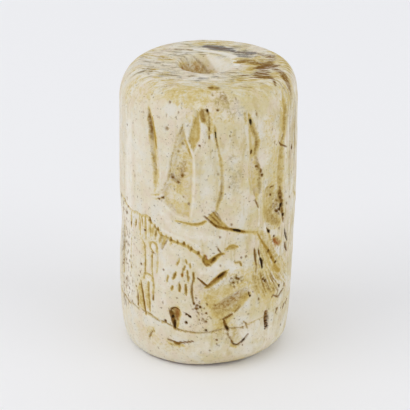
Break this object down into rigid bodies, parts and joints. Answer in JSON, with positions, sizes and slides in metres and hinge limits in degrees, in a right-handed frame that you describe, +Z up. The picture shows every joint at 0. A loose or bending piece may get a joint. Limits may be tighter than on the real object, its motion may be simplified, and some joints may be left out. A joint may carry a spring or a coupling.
{
  "type": "cylinder seal",
  "caption": "Small cylinder seal of pale worn shell, drilled from end to end and engraved all round with a frieze of struggling animals above a border line.",
  "frame": {"origin": "middle of the foot end's bounding box, on the surface the seal stands on", "axes": "+Z up along the bore, from the foot end to the head end; -Y is the front of the frieze; +X to the right when looking at the front"},
  "size_m": [0.0191, 0.019, 0.032],
  "materials": {
    "worn_shell": "worn polish, ivory white with ochre and dark brown dirt in the cuts"
  },
  "bodies": {
    "root": {"seal": "worn_shell"}
  },
  "joints": []
}
